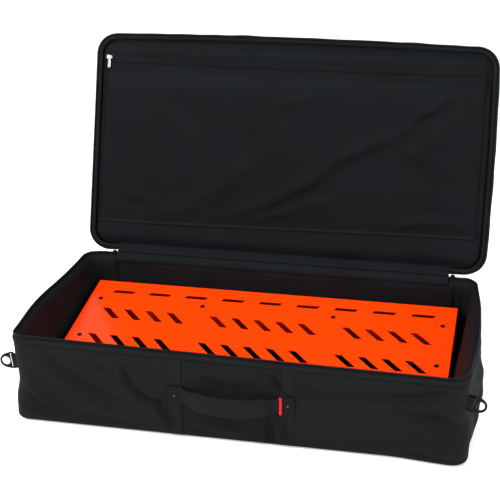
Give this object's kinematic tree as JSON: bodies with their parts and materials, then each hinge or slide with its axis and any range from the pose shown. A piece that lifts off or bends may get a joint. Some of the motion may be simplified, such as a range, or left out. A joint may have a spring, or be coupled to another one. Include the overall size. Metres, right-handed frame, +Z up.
{
  "type": "pedalboard in soft carry case",
  "caption": "Slotted sheet-metal effects pedalboard standing in its padded soft carry case with zipped lid, carry handle and strap rings.",
  "frame": {"origin": "centre of the case's underside, on the surface it stands on", "axes": "+X to the right along the long side, +Y to the back (the hinge side), +Z up"},
  "size_m": [0.9658, 0.6889, 0.6542],
  "materials": {
    "outer_nylon": "matte",
    "lining_cloth": "matte",
    "padding_foam": "matte",
    "webbing": "matte",
    "edge_binding": "matte",
    "zipper_tape": "matte",
    "red_ribbon": "satin",
    "stiff_board": "matte",
    "orange_paint": "gloss",
    "black_steel": "satin",
    "bright_steel": "satin",
    "foot_rubber": "matte"
  },
  "bodies": {
    "case_base": {"bottom_panel": "outer_nylon", "bottom_stiffener": "stiff_board", "floor_foam": "padding_foam", "side_fabric": "outer_nylon", "base_lining": "lining_cloth", "rim_binding": "edge_binding", "front_wall_foam": "padding_foam", "rear_wall_foam": "padding_foam", "left_wall_foam": "padding_foam", "right_wall_foam": "padding_foam", "base_zipper_tape": "zipper_tape", "base_hinge_strip": "outer_nylon", "left_front_strap": "webbing", "right_front_strap": "webbing", "left_ring_loop": "webbing", "right_ring_loop": "webbing", "handle_left_tab": "webbing", "handle_right_tab": "webbing", "handle_left_rivet": "bright_steel", "handle_right_rivet": "bright_steel", "handle_red_tab": "red_ribbon"},
    "lid": {"lid_outer_panel": "outer_nylon", "lid_gusset": "outer_nylon", "lid_foam": "padding_foam", "lid_lining": "lining_cloth", "lid_border": "edge_binding", "lid_zipper_tape": "zipper_tape", "lid_hinge_strip": "outer_nylon", "pocket_panel": "lining_cloth", "pocket_zipper_tape": "zipper_tape"},
    "pocket_slider": {"pocket_slider": "bright_steel"},
    "pocket_puller": {"pocket_puller": "bright_steel"},
    "left_zip_slider": {"left_zip_slider": "black_steel"},
    "left_zip_puller": {"left_zip_puller": "black_steel"},
    "right_zip_slider": {"right_zip_slider": "black_steel"},
    "right_zip_puller": {"right_zip_puller": "black_steel"},
    "left_ring": {"left_ring": "black_steel"},
    "right_ring": {"right_ring": "black_steel"},
    "handle": {"handle_grip": "webbing"},
    "pedalboard": {"deck_plate": "orange_paint", "rear_panel": "orange_paint", "front_panel": "orange_paint", "left_end_leg": "orange_paint", "right_end_leg": "orange_paint", "left_rib": "orange_paint", "right_rib": "orange_paint", "left_end_screw_1": "black_steel", "left_end_screw_2": "black_steel", "left_end_screw_3": "black_steel", "right_end_screw_1": "black_steel", "right_end_screw_2": "black_steel", "right_end_screw_3": "black_steel", "left_rib_screw_1": "black_steel", "left_rib_screw_2": "black_steel", "right_rib_screw_1": "black_steel", "right_rib_screw_2": "black_steel", "left_front_foot": "foot_rubber", "left_rear_foot": "foot_rubber", "right_front_foot": "foot_rubber", "right_rear_foot": "foot_rubber"}
  },
  "joints": [
    {"name": "lid_hinge", "type": "hinge", "parent": "case_base", "child": "lid", "pos_m": [0, 0.24, 0.186], "axis": [-1, 0, 0], "range_deg": [-107, 53]},
    {"name": "board_lift", "type": "slide", "parent": "case_base", "child": "pedalboard", "axis": [0, 0, 1], "range_m": [0, 0.22]},
    {"name": "handle_swing", "type": "hinge", "parent": "case_base", "child": "handle", "pos_m": [0, -0.2435, 0.092], "axis": [1, 0, 0], "range_deg": [-35, 35]},
    {"name": "left_ring_swing", "type": "hinge", "parent": "case_base", "child": "left_ring", "pos_m": [-0.454, -0.207, 0.1185], "axis": [-0.1564, 0, 0.9877], "range_deg": [-80, 80]},
    {"name": "right_ring_swing", "type": "hinge", "parent": "case_base", "child": "right_ring", "pos_m": [0.454, -0.207, 0.1185], "axis": [-0.309, 0, -0.9511], "range_deg": [-80, 80]},
    {"name": "pocket_slider_slide", "type": "slide", "parent": "lid", "child": "pocket_slider", "axis": [1, 0, 0], "range_m": [0, 0.82]},
    {"name": "pocket_puller_flip", "type": "hinge", "parent": "pocket_slider", "child": "pocket_puller", "pos_m": [-0.42, 0.37574, 0.60586], "axis": [-1, 0, 0], "range_deg": [0, 150]},
    {"name": "left_zip_slide", "type": "slide", "parent": "case_base", "child": "left_zip_slider", "axis": [-1, 0, 0], "range_m": [0, 0.01]},
    {"name": "left_zip_puller_flip", "type": "hinge", "parent": "left_zip_slider", "child": "left_zip_puller", "pos_m": [-0.384, 0.2444, 0.1826], "axis": [-1, 0, 0], "range_deg": [-75, 0]},
    {"name": "right_zip_slide", "type": "slide", "parent": "case_base", "child": "right_zip_slider", "axis": [1, 0, 0], "range_m": [0, 0.01]},
    {"name": "right_zip_puller_flip", "type": "hinge", "parent": "right_zip_slider", "child": "right_zip_puller", "pos_m": [0.384, 0.2444, 0.1826], "axis": [-1, 0, 0], "range_deg": [-75, 0]}
  ]
}
